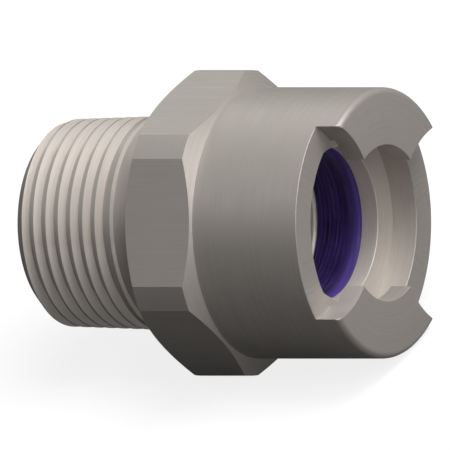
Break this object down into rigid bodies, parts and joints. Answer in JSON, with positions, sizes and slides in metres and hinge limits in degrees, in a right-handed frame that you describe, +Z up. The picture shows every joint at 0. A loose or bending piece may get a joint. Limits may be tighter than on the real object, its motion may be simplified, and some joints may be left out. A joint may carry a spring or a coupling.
{
  "type": "pneumatic quick coupling",
  "caption": "Claw-type air hose coupling half: tapered male pipe thread, wrench hexagon, round barrel and a socket with hooked jaws round a rubber lip seal.",
  "frame": {"origin": "centre of the threaded end's face", "axes": "+X along the flow axis from the threaded end to the socket, +Z up; the hexagon lies on its lower flat"},
  "size_m": [0.0471, 0.0384, 0.035],
  "materials": {
    "steel": "satin",
    "seal_rubber": "satin"
  },
  "bodies": {
    "root": {"coupling_body": "steel", "seal_ring": "seal_rubber"}
  },
  "joints": []
}
